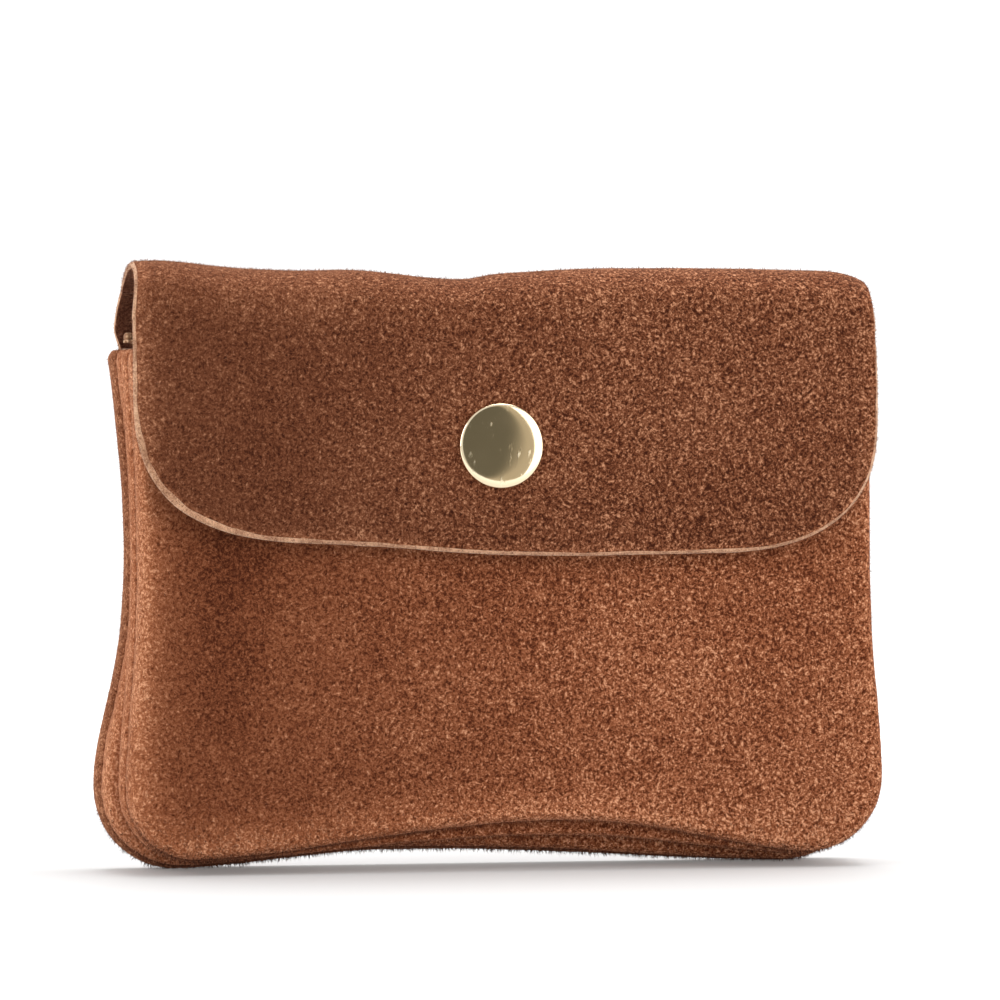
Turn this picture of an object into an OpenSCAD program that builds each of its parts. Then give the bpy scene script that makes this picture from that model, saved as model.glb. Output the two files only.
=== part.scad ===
// Suede flap wallet: a front and a rear pouch in turned-seam construction, a zipped pocket
// between them, and a flap that folds over from the back and closes on a press stud.
// X is the width, +Y the back, +Z up. The origin is under the middle of the wallet's box.

/* [Body] */
// Width over the lower corners of the rear pouch
body_w = 140.8; // [134:0.2:150]
// Height of the pouch mouths
mouth_z = 92.5; // [88:0.5:98]
// Thickness of the suede
suede_t = 1.3; // [1.0:0.1:1.4]
// Radius of the rolled edge beside a turned seam
roll_r = 2.85; // [2.7:0.05:3.2]
// Radius of the lower corners
corner_r = 14.5; // [12:0.5:18]
// How far the rear pouch is drawn in at its waist, on each side
rear_waist_in = 5.7; // [1:0.1:7]
// How much narrower the front pouch is at its foot, on each side
front_foot_in = 2.1; // [1:0.1:4]
// How far the front pouch hangs above the surface
front_lift = 0.3; // [0:0.1:3]
// Rise of the front pouch's lower edge at the middle
front_arch = 6.4; // [0:0.1:8]
// Rise of the rear pouch's lower edge at the middle
rear_arch = 3.4; // [0:0.1:5]

/* [Flap] */
// Width of the flap
flap_w = 133.4; // [128:0.2:136]
// Height of the fold above the mouths
fold_rise = 15.6; // [13:0.1:20]
// Length of the flap's front from the fold to its lower edge
flap_drop = 52.4; // [45:0.1:60]
// Space between the flap and the front pouch, taken up by the press stud
flap_gap = 3.4; // [3.4:0.1:5]
// Width of the flap's rounded corners
flap_corner_w = 28; // [10:1:40]
// Height of the flap's rounded corners
flap_corner_h = 22; // [10:1:26]

/* [Press stud] */
// Diameter of the cap
cap_d = 15; // [12:0.5:20]
// Height of the cap's dome
cap_h = 1.2; // [0.8:0.1:2]
// Distance of the press stud below the fold
snap_drop = 32.7; // [25:0.1:36]
// Distance of the press stud to the right of the wallet's middle
snap_x = -1.2; // [-10:0.1:10]

/* [Zip] */
// Half of the width of the zipped pocket
pocket_half = 3.4; // [3.4:0.1:3.6]
// Length of the zip's chain
zip_l = 118; // [100:1:118]
// Distance between two teeth of one row
tooth_pitch = 2.4; // [2:0.1:3]
// Length of the zip's pull tab
pull_l = 19; // [12:1:21]

/* [Hidden] */

// Planes across the depth, from the back to the front
panel_depth = 2 * roll_r;
total_depth = 4 * panel_depth + flap_gap + suede_t + cap_h;
back_y = total_depth / 2;
rear_seam_y = back_y - panel_depth;
pocket_y = rear_seam_y - panel_depth;
front_seam_y = pocket_y - panel_depth;
front_y = front_seam_y - panel_depth;
flap_in_y = front_y - flap_gap;
flap_out_y = flap_in_y - suede_t;
// Air between two parts that move against each other
air = 0.1;

fold_z = mouth_z + fold_rise;
flap_low_z = fold_z - flap_drop;
snap_z = fold_z - snap_drop;
waist_z = 50;
foot_spread = 20.5;
// Width of the turned-in allowance inside a seam
allowance = 3.6;

// Outline of a pouch: half widths at the foot, waist and mouth, height of the feet, rise of the arch
rear_shape = [body_w / 2, body_w / 2 - rear_waist_in, body_w / 2 - 2.4, 0, rear_arch];
front_shape = [
    body_w / 2 - front_foot_in, body_w / 2 - 4.1, body_w / 2 - 3.4, front_lift, front_arch
];
pocket_margin = 9.5;
pocket_shape = [
    front_shape[0] - pocket_margin, front_shape[1] - pocket_margin, front_shape[2] - 4,
    front_lift + pocket_margin, front_arch
];
side_steps = 9;
corner_steps = 5;
base_steps = 10;

thread_r = 0.22;
// A stitch lies this deep in the suede
thread_sink = 0.05;
suede = "sienna";
lining = "saddlebrown";
brass = "gold";

// Half width of an outline at height z
function half_w(s, z) =
    s[1] + (s[0] - s[1]) * exp(-pow((z - s[3] - corner_r) / foot_spread, 2))
    + (s[2] - s[1]) * pow(max(0, (z - waist_z) / (mouth_z - waist_z)), 2);

// Right half of an outline drawn in by d, from the mouth down to the middle of the base
function half_outline(s, d) = let (
    corner_z = s[3] + corner_r,
    corner_x = half_w(s, corner_z) - corner_r,
    r = max(1, corner_r - d),
    base_z = s[3] + corner_r - r
) concat(
    [for (i = [0 : side_steps]) let (z = mouth_z + (corner_z - mouth_z) * i / side_steps)
        [half_w(s, z) - corner_r + r, z]],
    [for (i = [1 : corner_steps]) let (a = 90 * i / corner_steps)
        [corner_x + r * cos(a), corner_z - r * sin(a)]],
    [for (i = [1 : base_steps]) let (x = corner_x * (1 - i / base_steps))
        [x, base_z + s[4] * (1 + cos(180 * x / corner_x)) / 2]]
);

// The whole outline, down the right side and up the left side, open at the mouth
function outline(s, d) = let (h = half_outline(s, d), n = len(h)) concat(
    h, [for (i = [n - 2 : -1 : 0]) [-h[i][0], h[i][1]]]
);

// Section of a rolled edge and its turned-in allowance, as [inset, depth] pairs: round the outside
// of the roll to the seam plane, along the allowance and back round the inside
function rolled_edge() = let (
    in_r = roll_r - suede_t,
    end_a = asin((roll_r - air / 2) / roll_r)
) concat(
    [for (k = [0 : 5]) let (a = 90 - (90 + end_a) * k / 5)
        [roll_r - roll_r * cos(a), roll_r + roll_r * sin(a)]],
    [[roll_r + allowance, air / 2], [roll_r + allowance, suede_t]],
    [for (k = [0 : 4]) let (a = -90 + 45 * k) [roll_r - in_r * cos(a), roll_r + in_r * sin(a)]]
);

// A leather panel dished away from its seam plane at y = 0 and open at the mouth. An inner
// panel's face is sunk by pocket_half inside the pocket's outline.
module panel(s, sunk = false) {
    rings = concat(
        sunk ? [
            [outline(pocket_shape, 1.5), panel_depth - pocket_half],
            [outline(pocket_shape, 0), panel_depth]] : [],
        [for (p = rolled_edge()) [outline(s, p[0]), p[1]]],
        sunk ? [
            [outline(pocket_shape, -0.9), panel_depth - suede_t],
            [outline(pocket_shape, 0.6), panel_depth - pocket_half - suede_t]] : []
    );
    n = len(rings[0][0]);
    last = len(rings) - 1;
    points = [for (ring = rings) for (p = ring[0]) [p[0], ring[1], p[1]]];
    walls = [for (k = [0 : last - 1]) for (i = [0 : n - 2])
        [k * n + i, k * n + i + 1, (k + 1) * n + i + 1, (k + 1) * n + i]];
    faces = [[for (i = [n - 1 : -1 : 0]) i], [for (i = [0 : n - 1]) last * n + i]];
    mouth = concat([for (k = [0 : last]) k * n], [for (k = [last : -1 : 0]) k * n + n - 1]);
    polyhedron(points, concat(walls, faces, [mouth]), convexity = 6);
}

// A round bar from p to q
module bar(p, q, r) {
    v = q - p;
    translate(p) rotate([0, acos(v[2] / norm(v)), atan2(v[1], v[0])])
        cylinder(h = norm(v), r = r, $fn = 16);
}

// One stitch over the middle of the step from p to q
module stitch(p, q) {
    bar(p + 0.15 * (q - p), q - 0.15 * (q - p), thread_r);
}

// Stitches along an outline drawn in by d, below height top_z, in the plane y
module outline_stitches(s, d, top_z, y) {
    path = outline(s, d);
    for (i = [0 : len(path) - 2])
        if (max(path[i][1], path[i + 1][1]) < top_z)
            stitch([path[i][0], y, path[i][1]], [path[i + 1][0], y, path[i + 1][1]]);
}

// A straight row of stitches along X
module row_stitches(x, y, z) {
    steps = floor(2 * x / 3.5);
    for (i = [0 : steps - 1]) {
        x0 = -x + 2 * x * i / steps;
        stitch([x0, y, z], [x0 + 2 * x / steps, y, z]);
    }
}

// Turns a shape drawn along +Z so that it points to the front at the press stud
module at_snap(y) {
    translate([snap_x, y, snap_z]) rotate([90, 0, 0]) children();
}

module back_panel() {
    color(suede) translate([0, rear_seam_y, 0]) panel(rear_shape);
}

// The stretch of the back panel that rises over the mouths to the fold
module flap_bridge() {
    a = back_y - flap_out_y;
    function arch(in, t) = [
        flap_out_y + (a - in) * sin(t), mouth_z + air + (fold_rise - air - in) * cos(t)];
    steps = 20;
    color(suede) translate([flap_w / 2, 0, 0]) rotate([90, 0, -90]) mirror([1, 0, 0])
        linear_extrude(flap_w) polygon(concat(
            [for (i = [0 : steps]) arch(0, 90 * i / steps)],
            [for (i = [steps : -1 : 0]) arch(suede_t, 90 * i / steps)]
        ));
}

// Front of the flap, from the fold down, with rounded lower corners and a gently bowed edge
module flap() {
    corner_x = flap_w / 2 - flap_corner_w;
    bow = 1.4;
    corner_z = flap_low_z + bow + flap_corner_h;
    right = concat(
        [[flap_w / 2, fold_z - suede_t - air]],
        [for (i = [0 : 12]) let (t = 7.5 * i)
            [corner_x + flap_corner_w * cos(t), corner_z - flap_corner_h * sin(t)]],
        [for (i = [1 : 8]) let (x = corner_x * (1 - i / 8))
            [x, flap_low_z + bow * (1 - cos(180 * x / corner_x)) / 2]]
    );
    n = len(right);
    color(suede) difference() {
        translate([0, flap_in_y, 0]) rotate([90, 0, 0]) linear_extrude(suede_t)
            polygon(concat(right, [for (i = [n - 2 : -1 : 0]) [-right[i][0], right[i][1]]]));
        at_snap(flap_in_y + 1) cylinder(h = suede_t + 2, r = 1.9, $fn = 48);
    }
}

module rear_inner_panel() {
    color(suede) translate([0, rear_seam_y, 0]) mirror([0, 1, 0]) panel(rear_shape, sunk = true);
}

module front_inner_panel() {
    color(suede) translate([0, front_seam_y, 0]) panel(front_shape, sunk = true);
}

// The front panel is drilled for the stud's post, whose flange is pressed into the suede
module front_panel() {
    color(suede) difference() {
        translate([0, front_seam_y, 0]) mirror([0, 1, 0]) panel(front_shape);
        at_snap(front_y + suede_t + 1) cylinder(h = suede_t + 2, r = 1.7, $fn = 48);
        at_snap(front_y + suede_t + 1) cylinder(h = 1.5, r = 5.4, $fn = 48);
    }
}

// A thread lies this far inside the outline, in the groove beside its own panel's rolled edge
groove_in = 1.9;
groove_side = 0.25;
module rear_seam_thread() {
    color(lining) outline_stitches(rear_shape, groove_in, mouth_z, rear_seam_y + groove_side);
}
module front_seam_thread() {
    color(lining) outline_stitches(front_shape, groove_in, mouth_z, front_seam_y + groove_side);
}

// The seam that joins the two inner panels around the pocket shows inside both pouches
module pocket_seam_thread() {
    lie = suede_t + thread_r - thread_sink;
    color(lining) for (side = [-1, 1])
        outline_stitches(pocket_shape, -2.4, mouth_z - 12, pocket_y + side * lie);
}

// Card pockets on the inner face of the back panel
card_w = 98;
card_t = 0.4;
card_low_z = 24;
back_in_y = back_y - suede_t;
module card_sheet(top_z, y) {
    r = 5;
    color(suede) translate([0, y, 0]) rotate([90, 0, 0]) linear_extrude(card_t) hull() {
        for (x = [-1, 1]) {
            translate([x * (card_w / 2 - r), card_low_z + r]) circle(r = r, $fn = 32);
            translate([x * (card_w / 2 - 1), top_z - 1]) circle(r = 1, $fn = 32);
        }
    }
}
module card_pocket_upper() {
    card_sheet(82, back_in_y - air);
}
module card_pocket_lower() {
    card_sheet(68, back_in_y - 2 * air - card_t);
}
module card_pocket_thread() {
    y = back_in_y - 2 * air - 2 * card_t - thread_r + thread_sink;
    x = card_w / 2 - 2.5;
    steps = 11;
    color(lining) {
        for (side = [-1, 1]) for (i = [0 : steps - 1]) {
            z = card_low_z + 5 + 3.5 * i;
            stitch([side * x, y, z], [side * x, y, z + 3.5]);
        }
        row_stitches(x - 3, y, card_low_z + 2.5);
    }
}

// Zip: the chain lies flat over the pocket, with each tape turned down along its inner panel
chain_z = mouth_z + 1.3;
chain_half = 1.9;
tape_t = 0.5;
tape_root = 1.45;
tape_l = 2 * front_shape[2] - 3;
tape_down = 10;
module tape(side) {
    wall = pocket_half - 0.05;
    flange_l = 2 * half_w(pocket_shape, chain_z - tape_down) - 4;
    color("peru") translate([0, pocket_y, chain_z]) rotate([90, 0, -90]) scale([-side, 1, 1]) {
        linear_extrude(tape_l, center = true) polygon([
            [tape_root, -tape_t / 2], [wall, -tape_t / 2], [wall, 0], [wall - tape_t / 2, tape_t / 2],
            [tape_root, tape_t / 2]
        ]);
        linear_extrude(flange_l, center = true)
            polygon([[wall - tape_t, -tape_down], [wall, -tape_down], [wall, 0], [wall - tape_t, 0]]);
    }
}
module zip_tape_front() {
    tape(-1);
}
module zip_tape_rear() {
    tape(1);
}
module zip_tape_thread() {
    lie = pocket_half + suede_t + thread_r - thread_sink;
    color(lining) for (side = [-1, 1]) row_stitches(54, pocket_y + side * lie, mouth_z - 4);
}

// The heads of the two rows stop short of the middle, so that the slider's blade passes
head_y = 0.28;
tooth_t = 1.9;
tooth_w = tooth_pitch / 2 - 0.15;
teeth_x = -zip_l / 2 + 2.8;
teeth_n = floor((zip_l - 2) / tooth_pitch);
module teeth(side) {
    shift = side > 0 ? tooth_pitch / 2 : 0;
    color(brass) for (i = [0 : teeth_n - 1])
        translate([teeth_x + shift + i * tooth_pitch, pocket_y, chain_z])
            scale([1, side, 1]) union() {
                translate([-tooth_w / 2, head_y, -tooth_t / 2 + 0.2])
                    cube([tooth_w, tape_root - head_y, tooth_t - 0.4]);
                difference() {
                    translate([-tooth_w / 2, tape_root - 0.6, -tooth_t / 2])
                        cube([tooth_w, chain_half - tape_root + 0.6, tooth_t]);
                    translate([-tooth_w, tape_root, -tape_t / 2]) cube([2 * tooth_w, 1, tape_t]);
                }
            }
}
module zip_teeth_front() {
    teeth(-1);
}
module zip_teeth_rear() {
    teeth(1);
}

// The bottom stop clips both tapes together at the left end of the chain
module zip_bottom_stop() {
    color(brass) translate([-zip_l / 2, pocket_y, chain_z]) difference() {
        translate([-1.2, -chain_half - 0.2, -1.1]) cube([2.4, 2 * chain_half + 0.4, 2.2]);
        for (side = [-1, 1]) translate([-2, side < 0 ? -3 : tape_root, -tape_t / 2])
            cube([4, 3 - tape_root, tape_t]);
    }
}

// Each top stop clips one tape at the right end
module zip_top_stops() {
    color(brass) for (side = [-1, 1]) translate([zip_l / 2 + 2, pocket_y, chain_z])
        scale([1, side, 1]) difference() {
            translate([-0.9, 0.5, -1]) cube([1.8, chain_half - 0.5, 2]);
            translate([-2, tape_root, -tape_t / 2]) cube([4, 3, tape_t]);
        }
}

// Slider: two plates joined by a blade at the nose, lips beside the teeth, crown on top
slider_l = 7.6;
slider_w = 5.2;
slider_x = zip_l / 2 - 4.4;
plate_t = 0.7;
plate_z = tooth_t / 2 + 0.12;
blade_t = 0.3;
pivot_z = plate_z + plate_t + 1.0;
module slider_plate(low_z) {
    translate([0, 0, low_z]) linear_extrude(plate_t) polygon([
        [-slider_l / 2, -slider_w / 2 + 0.5], [-slider_l / 2 + 0.5, -slider_w / 2],
        [slider_l / 2 - 2, -slider_w / 2], [slider_l / 2, -slider_w / 2 + 1.4],
        [slider_l / 2, slider_w / 2 - 1.4], [slider_l / 2 - 2, slider_w / 2],
        [-slider_l / 2 + 0.5, slider_w / 2], [-slider_l / 2, slider_w / 2 - 0.5]
    ]);
}
module zip_slider() {
    color(brass) translate([slider_x, pocket_y, chain_z]) {
        slider_plate(plate_z);
        slider_plate(-plate_z - plate_t);
        translate([slider_l / 2 - 2.2, -blade_t / 2, -plate_z - 0.1])
            cube([1.8, blade_t, 2 * plate_z + 0.2]);
        for (side = [-1, 1]) translate([-slider_l / 2 + 0.5, side * (slider_w / 2 - 0.25) - 0.25, 0])
            for (z = [plate_z - 0.6, -plate_z])
                translate([0, 0, z]) cube([slider_l - 2.5, 0.5, 0.6]);
        for (x = [-1.9, 1.9]) translate([x - 0.4, -0.7, plate_z + plate_t - 0.1])
            cube([0.8, 1.4, 1.75]);
        translate([-2.3, -0.7, pivot_z + 0.55]) cube([4.6, 1.4, 0.6]);
    }
}

// The pull's cross-bar turns under the crown; its arms pass the crown and hold the tab
module zip_pull() {
    bar_r = 0.4;
    arm_y = 0.95;
    arm_w = 0.85;
    tab_t = 0.7;
    tab_x = -3.1;
    end_r = 2.4;
    color(brass) translate([slider_x, pocket_y, chain_z + pivot_z]) {
        translate([0, arm_y + arm_w, 0]) rotate([90, 0, 0])
            cylinder(h = 2 * (arm_y + arm_w), r = bar_r, $fn = 32);
        for (side = [-1, 1]) translate([tab_x - 0.5, side * (arm_y + arm_w / 2) - arm_w / 2, -tab_t / 2])
            cube([0.5 - tab_x, arm_w, tab_t]);
        translate([0, 0, -tab_t / 2]) linear_extrude(tab_t) difference() {
            union() {
                translate([-pull_l + end_r, -arm_y - arm_w])
                    square([pull_l - end_r + tab_x, 2 * (arm_y + arm_w)]);
                translate([-pull_l + end_r, 0]) circle(r = end_r, $fn = 48);
            }
            translate([-pull_l + end_r, 0]) circle(r = 0.9, $fn = 32);
        }
    }
}

// Press stud, drawn along +Z towards the front from the plane named at each part
cap_r = cap_d / 2;
socket_r = 6;
module snap_cap() {
    steps = 12;
    color(brass) at_snap(flap_out_y) rotate_extrude($fn = 96) polygon(concat(
        [[0, -suede_t - 0.75], [2.6, -suede_t - 0.75], [2.6, -suede_t - 0.5], [1.8, -suede_t - 0.5],
         [1.8, 0], [cap_r - 0.15, 0]],
        [for (i = [0 : steps]) let (t = 90 * i / steps)
            [cap_r * cos(t), 0.25 + (cap_h - 0.25) * pow(sin(t), 0.8)]]
    ));
}
module snap_socket() {
    color(brass) at_snap(flap_in_y) rotate([180, 0, 0]) rotate_extrude($fn = 72) polygon([
        [1.9, 0], [socket_r - 0.3, 0], [socket_r, 0.3], [socket_r, 2.6], [socket_r - 0.3, 2.9],
        [3.6, 2.9], [3.6, 2.45], [4.6, 2.45], [4.6, 0.5], [1.9, 0.5]
    ]);
}
module snap_spring() {
    color("silver") at_snap(flap_in_y) rotate([180, 0, 0]) translate([0, 0, 2.08])
        rotate_extrude(angle = 320, $fn = 72) translate([2.55, 0]) circle(r = 0.35, $fn = 24);
}
module snap_stud() {
    color(brass) at_snap(front_y) rotate_extrude($fn = 72) polygon([
        [1.7, 0], [5.4, 0], [5.4, 0.4], [2.1, 0.4], [2.1, 1.75], [2.55, 1.95], [2.55, 2.2],
        [2.2, 2.4], [0, 2.4], [0, 2.1], [1.7, 2.1]
    ]);
}
module snap_post() {
    color(brass) at_snap(front_y + suede_t) rotate_extrude($fn = 72) polygon([
        [0, 0], [5.3, 0], [5.3, 0.45], [1.6, 0.45], [1.6, suede_t + 2], [0, suede_t + 2]
    ]);
}

back_panel();
flap_bridge();
flap();
rear_inner_panel();
front_inner_panel();
front_panel();
rear_seam_thread();
front_seam_thread();
pocket_seam_thread();
card_pocket_upper();
card_pocket_lower();
card_pocket_thread();
zip_tape_front();
zip_tape_rear();
zip_tape_thread();
zip_teeth_front();
zip_teeth_rear();
zip_bottom_stop();
zip_top_stops();
zip_slider();
zip_pull();
snap_cap();
snap_socket();
snap_spring();
snap_stud();
snap_post();
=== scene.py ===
import math
from collections import namedtuple

import bpy
import numpy as np
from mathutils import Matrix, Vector, kdtree, noise


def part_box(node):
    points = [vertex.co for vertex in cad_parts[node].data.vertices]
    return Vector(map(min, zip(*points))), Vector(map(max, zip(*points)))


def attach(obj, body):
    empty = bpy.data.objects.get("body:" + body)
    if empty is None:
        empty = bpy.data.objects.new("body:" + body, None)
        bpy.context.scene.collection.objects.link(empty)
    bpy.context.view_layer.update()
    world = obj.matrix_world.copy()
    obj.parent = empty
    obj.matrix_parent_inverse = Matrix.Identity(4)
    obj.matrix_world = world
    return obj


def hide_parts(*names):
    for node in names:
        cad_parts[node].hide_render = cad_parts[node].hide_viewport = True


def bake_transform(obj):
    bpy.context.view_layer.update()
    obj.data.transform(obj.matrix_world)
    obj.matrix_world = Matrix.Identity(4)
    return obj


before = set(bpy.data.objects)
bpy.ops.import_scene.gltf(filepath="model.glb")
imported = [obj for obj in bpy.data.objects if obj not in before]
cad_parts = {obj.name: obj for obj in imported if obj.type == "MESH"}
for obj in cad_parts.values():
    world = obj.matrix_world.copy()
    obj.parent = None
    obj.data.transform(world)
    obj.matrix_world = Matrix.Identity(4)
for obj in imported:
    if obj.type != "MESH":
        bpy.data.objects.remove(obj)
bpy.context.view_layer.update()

# ---------------------------------------------------------------- sizes, from the frame

MM = 0.001
BACK_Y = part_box("back_panel")[1].y
REAR_SEAM_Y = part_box("back_panel")[0].y
POCKET_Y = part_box("rear_inner_panel")[0].y
FRONT_SEAM_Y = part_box("front_panel")[1].y
FLAP_OUT_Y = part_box("flap")[0].y
FLAP_LOW_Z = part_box("flap")[0].z
FLAP_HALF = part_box("flap")[1].x
FOLD_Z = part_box("flap_bridge")[1].z
MOUTH_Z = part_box("back_panel")[1].z
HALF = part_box("back_panel")[1].x
PANEL_DEPTH = BACK_Y - REAR_SEAM_Y
CAP_LO, CAP_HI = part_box("snap_cap")
SNAP_X, SNAP_Z = (CAP_LO.x + CAP_HI.x) / 2, (CAP_LO.z + CAP_HI.z) / 2
CAP_R = (CAP_HI.z - CAP_LO.z) / 2

LEATHER_T = 1.35 * MM   # thickness of the suede
ROLL_IN = 1.8 * MM      # width of a panel's rolled edge, seen from the front
ALLOWANCE = 3.6 * MM    # width of the turned-in seam allowance
STITCH = 3.3 * MM       # from one stitch of a seam to the next
RELIEF = 0.16 * MM      # height of the hide's unevenness
FIBRE = 0.62 * MM       # length of a loose fibre of the nap

# ---------------------------------------------------------------- small helpers


def smooth(t):
    t = min(1.0, max(0.0, t))
    return t * t * (3 - 2 * t)


def bump(x, centre, width):
    """A bell of height 1 at centre."""
    return math.exp(-(((x - centre) / width) ** 2))


def wander(x, y, z, size, seed):
    """Smooth noise from -1 to 1 that changes over size."""
    return noise.noise(Vector((x / size + seed * 7.31, y / size - seed * 3.17, z / size + seed)))


def new_piece(name, points, faces, *materials):
    mesh = bpy.data.meshes.new(name)
    mesh.from_pydata([tuple(p) for p in points], [], faces)
    for material in materials:
        mesh.materials.append(material)
    piece = bpy.data.objects.new(name, mesh)
    bpy.context.scene.collection.objects.link(piece)
    return piece


# ---------------------------------------------------------------- node graphs


class Graph:
    """The node tree of a material or a world, built one node at a time."""

    def __init__(self, owner):
        owner.use_nodes = True
        self.owner, self.tree = owner, owner.node_tree
        self.tree.nodes.clear()

    def add(self, kind, inputs=None, **settings):
        node = self.tree.nodes.new("ShaderNode" + kind)
        for key, value in settings.items():
            setattr(node, key, value)
        for key, value in (inputs or {}).items():
            if isinstance(value, bpy.types.NodeSocket):
                self.tree.links.new(value, node.inputs[key])
            else:
                node.inputs[key].default_value = value
        return node

    def maths(self, operation, a, b=0.0, c=0.0):
        return self.add("Math", {0: a, 1: b, 2: c}, operation=operation).outputs[0]

    def rest_mm(self):
        """The point's place at rest, in millimetres, kept on the mesh as an attribute."""
        at = self.add("Attribute", attribute_name="rest").outputs["Vector"]
        return self.add("VectorMath", {0: at, "Scale": 1000.0}, operation="SCALE").outputs[0]

    def noise(self, where, period, detail=2.0, roughness=0.5, distortion=0.0):
        return self.add("TexNoise", {
            "Vector": where, "Scale": 1 / period, "Detail": detail,
            "Roughness": roughness, "Distortion": distortion,
        }).outputs["Fac"]

    def ramp(self, value, stops):
        node = self.add("ValToRGB", {0: value})
        ramp = node.color_ramp
        while len(ramp.elements) < len(stops):
            ramp.elements.new(0.5)
        for element, (place, colour) in zip(ramp.elements, stops):
            element.position = place
            element.color = (*colour, 1.0)
        return node.outputs[0]

    def mix(self, factor, a, b):
        node = self.add("Mix", {0: factor}, data_type="RGBA")
        for socket, value in ((node.inputs[6], a), (node.inputs[7], b)):
            if isinstance(value, bpy.types.NodeSocket):
                self.tree.links.new(value, socket)
            else:
                socket.default_value = (*value, 1.0)
        return node.outputs[2]

    def finish(self, shader):
        self.add("OutputMaterial", {"Surface": shader.outputs[0]})
        return self.owner


def suede(name, shadow, middle, light, tips, tone=(1.0, 1.0)):
    """Napped suede: cloudy patches where the nap lies differently, blotches, and short crossing
    fibres with lit tips and dark roots. One point attribute lightens the edges: partly where
    they are really rubbed, partly a painted highlight where edges and the fold's crest face the
    lamps. Another darkens: painted shade in the stitches' dimples and the front's hollow. tone
    is the brightness at the left and right ends: painted light, lighter towards the right,
    where the light falls."""
    g = Graph(bpy.data.materials.new(name))
    at = g.rest_mm()
    warp = g.add("TexNoise", {"Vector": at, "Scale": 0.22, "Detail": 1.0}).outputs["Color"]
    lean = g.add("VectorMath", {0: warp, 1: (0.5, 0.5, 0.5)}, operation="SUBTRACT").outputs[0]
    lean = g.add("VectorMath", {0: lean, "Scale": 1.6}, operation="SCALE").outputs[0]
    bent = g.add("VectorMath", {0: at, 1: lean}).outputs[0]
    cloud = g.noise(at, 36.0, 3.0, 0.55)
    patch = g.noise(at, 10.0, 3.0, 0.6, 0.4)
    blotch = g.noise(at, 1.9, 2.0, 0.6)
    nap = g.noise(bent, 0.56, 2.0, 0.85, 0.5)
    streaks = []
    for angle in (0.15, 1.1, -0.9):
        turned = g.add("VectorRotate", {"Vector": bent, "Angle": angle, "Axis": (0.0, 1.0, 0.0)})
        thin = g.add("VectorMath", {0: turned.outputs[0], 1: (2.3, 2.3, 1.0)}, operation="MULTIPLY")
        streaks.append(g.noise(thin.outputs[0], 0.82, 1.0, 0.7, 0.4))
    fibre = g.maths("MAXIMUM", g.maths("MAXIMUM", streaks[0], streaks[1]), streaks[2])
    gap = g.maths("MINIMUM", g.maths("MINIMUM", streaks[0], streaks[1]), streaks[2])
    wear = g.add("Attribute", attribute_name="wear").outputs["Fac"]
    dent = g.add("Attribute", attribute_name="dent").outputs["Fac"]
    along = g.add("SeparateXYZ", {0: at}).outputs[0]
    side = g.add("MapRange", {"Value": along, "From Min": -62.0, "From Max": 30.0,
                              "To Min": 0.0, "To Max": 1.0}, interpolation_type="SMOOTHSTEP")
    side = side.outputs[0]

    grain = g.maths("MULTIPLY_ADD", nap, 1.9, -0.95)
    grain = g.maths("MULTIPLY_ADD", fibre, 1.5, g.maths("ADD", grain, -0.90))
    grain = g.maths("MULTIPLY_ADD", gap, 1.2, g.maths("ADD", grain, -0.48))
    grain = g.maths("MULTIPLY", grain, g.maths("MULTIPLY_ADD", side, 0.46, 0.64))
    level = g.maths("MULTIPLY_ADD", cloud, 0.42, g.maths("ADD", grain, -0.21))
    level = g.maths("MULTIPLY_ADD", patch, 0.15, g.maths("ADD", level, -0.075))
    level = g.maths("MULTIPLY_ADD", blotch, 0.06, g.maths("ADD", level, -0.03))
    # lighter edges: partly real rubbing, partly a painted highlight
    level = g.maths("MULTIPLY_ADD", wear, 0.22, level)
    # painted shade in the stitches' dimples and the front's hollow
    level = g.maths("MULTIPLY_ADD", dent, -0.9, level)
    level = g.maths("ADD", level, 0.47)
    colour = g.ramp(level, [(0.10, shadow), (0.42, middle), (0.70, light), (0.98, tips)])
    # painted light: brighter towards the right end, and on edges that are rubbed or face the lamps
    painted_light_and_wear = g.maths("MULTIPLY_ADD", side, tone[1] - tone[0], tone[0])
    painted_light_and_wear = g.maths("MULTIPLY_ADD", wear, 0.45, painted_light_and_wear)
    colour = g.add("VectorMath", {0: colour, "Scale": painted_light_and_wear}, operation="SCALE").outputs[0]

    height = g.maths("MULTIPLY_ADD", nap, 0.5, g.maths("MULTIPLY", fibre, 0.6))
    fine = g.add("Bump", {"Height": height, "Strength": 1.0, "Distance": 0.28 * MM})
    soft = g.add("Bump", {
        "Height": blotch, "Strength": 0.5, "Distance": 0.35 * MM, "Normal": fine.outputs[0],
    })
    shader = g.add("BsdfPrincipled", {
        "Base Color": colour, "Roughness": 0.95, "Specular IOR Level": 0.08,
        "Sheen Weight": 0.06, "Sheen Roughness": 0.5, "Sheen Tint": (1.0, 0.62, 0.40, 1.0),
        "Normal": soft.outputs[0],
    })
    return g.finish(shader)


def cut_edge():
    """The raw edge of the suede: pale fibres of the hide's core, a little soiled."""
    g = Graph(bpy.data.materials.new("cut_edge"))
    at = g.rest_mm()
    soil = g.noise(at, 4.0, 3.0, 0.6)
    fibre = g.noise(at, 0.35, 3.0, 0.7, 0.8)
    level = g.maths("MULTIPLY_ADD", soil, 0.8, g.maths("MULTIPLY_ADD", fibre, 1.1, -0.39))
    colour = g.ramp(level, [
        (0.25, (0.20, 0.085, 0.042)), (0.48, (0.46, 0.24, 0.135)), (0.72, (0.72, 0.43, 0.265)),
    ])
    rough = g.add("Bump", {"Height": fibre, "Strength": 0.8, "Distance": 0.3 * MM})
    shader = g.add("BsdfPrincipled", {
        "Base Color": colour, "Roughness": 0.95, "Specular IOR Level": 0.1,
        "Sheen Weight": 0.2, "Sheen Roughness": 0.5, "Normal": rough.outputs[0],
    })
    return g.finish(shader)


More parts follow.
